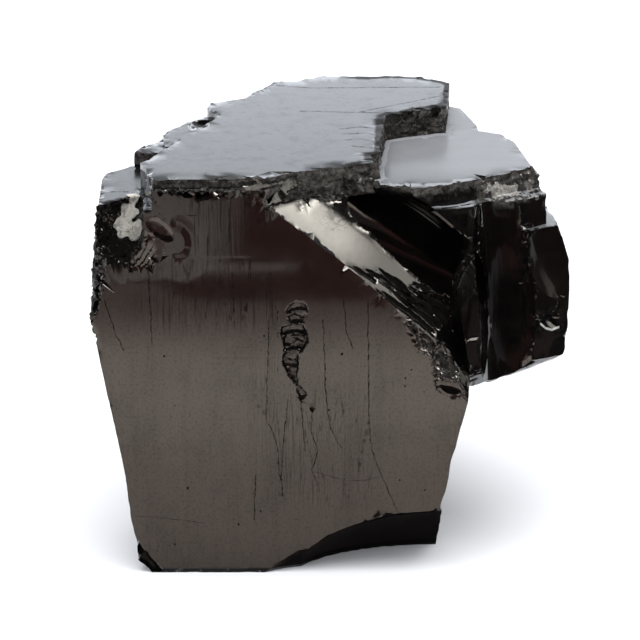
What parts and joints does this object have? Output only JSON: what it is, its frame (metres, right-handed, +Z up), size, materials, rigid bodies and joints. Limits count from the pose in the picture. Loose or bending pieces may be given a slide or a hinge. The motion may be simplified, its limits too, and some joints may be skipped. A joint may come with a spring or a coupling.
{
  "type": "shungite specimen",
  "caption": "Chunky block of lustrous black shungite with a mirror-like cleavage face, a flat stepped bed on top and shell-like fracture hollows; stands on its flat base.",
  "frame": {"origin": "middle of the bottom of the bounding box, on the surface it stands on", "axes": "+Z up, +X along the broad cleavage face towards the overhanging lobe, -Y out of the cleavage face"},
  "size_m": [0.0531, 0.042, 0.0455],
  "materials": {
    "shungite": "glossy"
  },
  "bodies": {
    "root": {"shungite_specimen": "shungite"}
  },
  "joints": []
}
